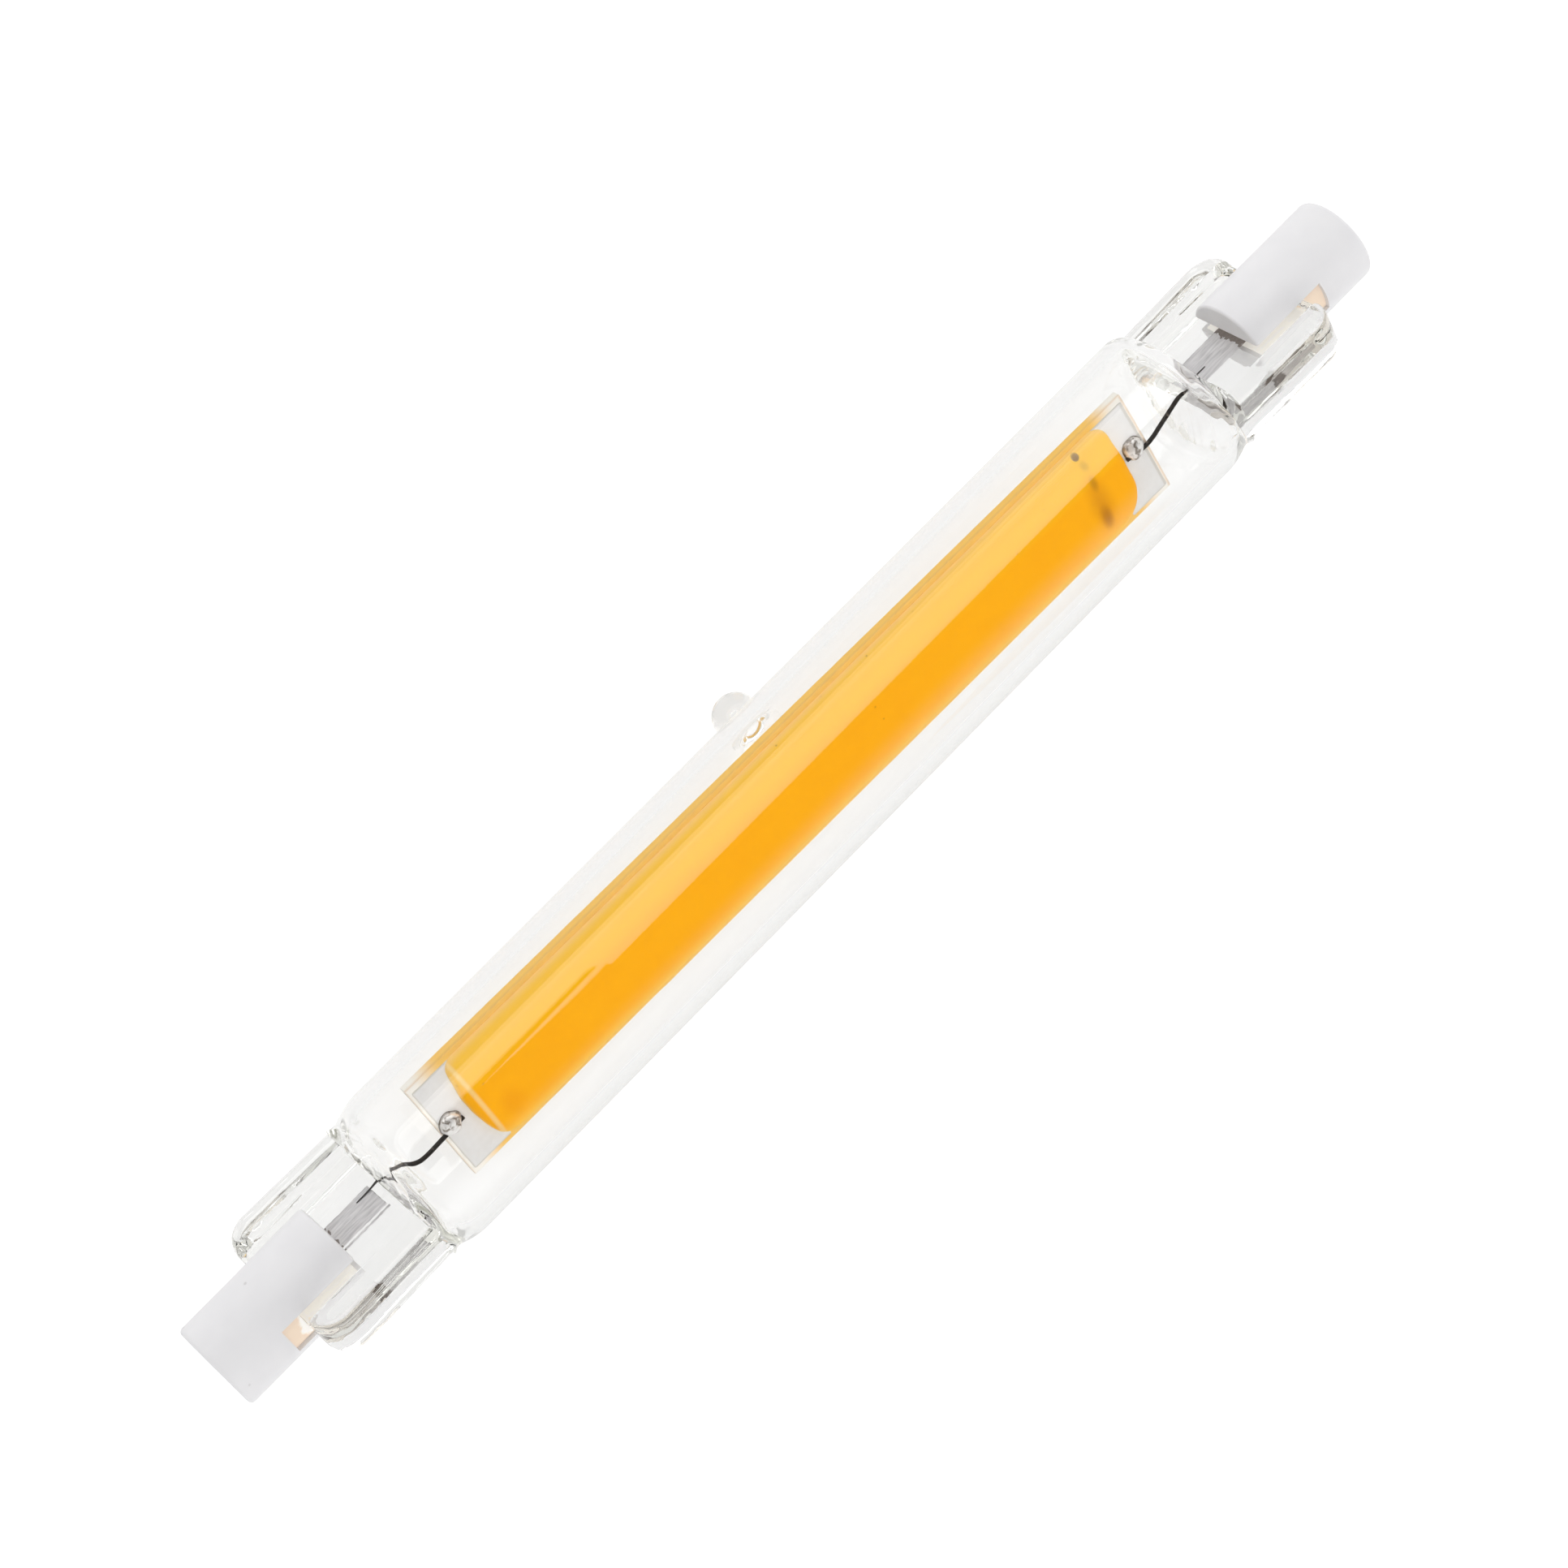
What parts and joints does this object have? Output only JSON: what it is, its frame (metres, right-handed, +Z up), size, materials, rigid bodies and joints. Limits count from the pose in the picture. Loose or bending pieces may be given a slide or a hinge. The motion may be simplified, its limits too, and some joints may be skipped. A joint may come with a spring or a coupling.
{
  "type": "double-ended linear led lamp",
  "caption": "Slim clear-glass tube lamp with a ceramic cap and recessed contact at each end, flat press seals, a tipped-off stub and a tilted inner light board under an orange phosphor strip.",
  "frame": {"origin": "on the lamp's long axis, midway between its two ends", "axes": "+X along the lamp towards its right-hand contact, +Z up as it lies on a table, +Y towards the tipped-off stub's side"},
  "size_m": [0.1176, 0.015, 0.0132],
  "materials": {
    "clear_glass": "drawn and pressed, clear and shiny",
    "board_ceramic": "translucent pale grey, matt",
    "phosphor_silicone": "cured gel, deep yellow-orange, satin",
    "die_crystal": "sawn and polished",
    "silver_print": "fired thick-film print, matt",
    "moulded_epoxy": "moulded, black",
    "tin_solder": "reflowed, bright",
    "lead_wire": "drawn wire, darkened by heat",
    "molybdenum_foil": "rolled foil, grey, with fine lines",
    "cap_ceramic": "pressed and fired, white, unglazed",
    "cap_cement": "dried cement, tan, grainy",
    "nickel_plate": "turned and nickel-plated"
  },
  "bodies": {
    "root": {"glass_envelope": "clear_glass", "light_board": "board_ceramic", "phosphor_gel": "phosphor_silicone", "light_chips": "die_crystal", "printed_lands": "silver_print", "left_pad": "silver_print", "right_pad": "silver_print", "rectifier_chip": "moulded_epoxy", "driver_chip": "moulded_epoxy", "series_resistor": "moulded_epoxy", "left_solder": "tin_solder", "right_solder": "tin_solder", "left_inner_lead": "lead_wire", "right_inner_lead": "lead_wire", "left_outer_lead": "lead_wire", "right_outer_lead": "lead_wire", "left_foil": "molybdenum_foil", "right_foil": "molybdenum_foil", "left_cap": "cap_ceramic", "right_cap": "cap_ceramic", "left_cement": "cap_cement", "right_cement": "cap_cement", "left_contact": "nickel_plate", "right_contact": "nickel_plate"}
  },
  "joints": []
}
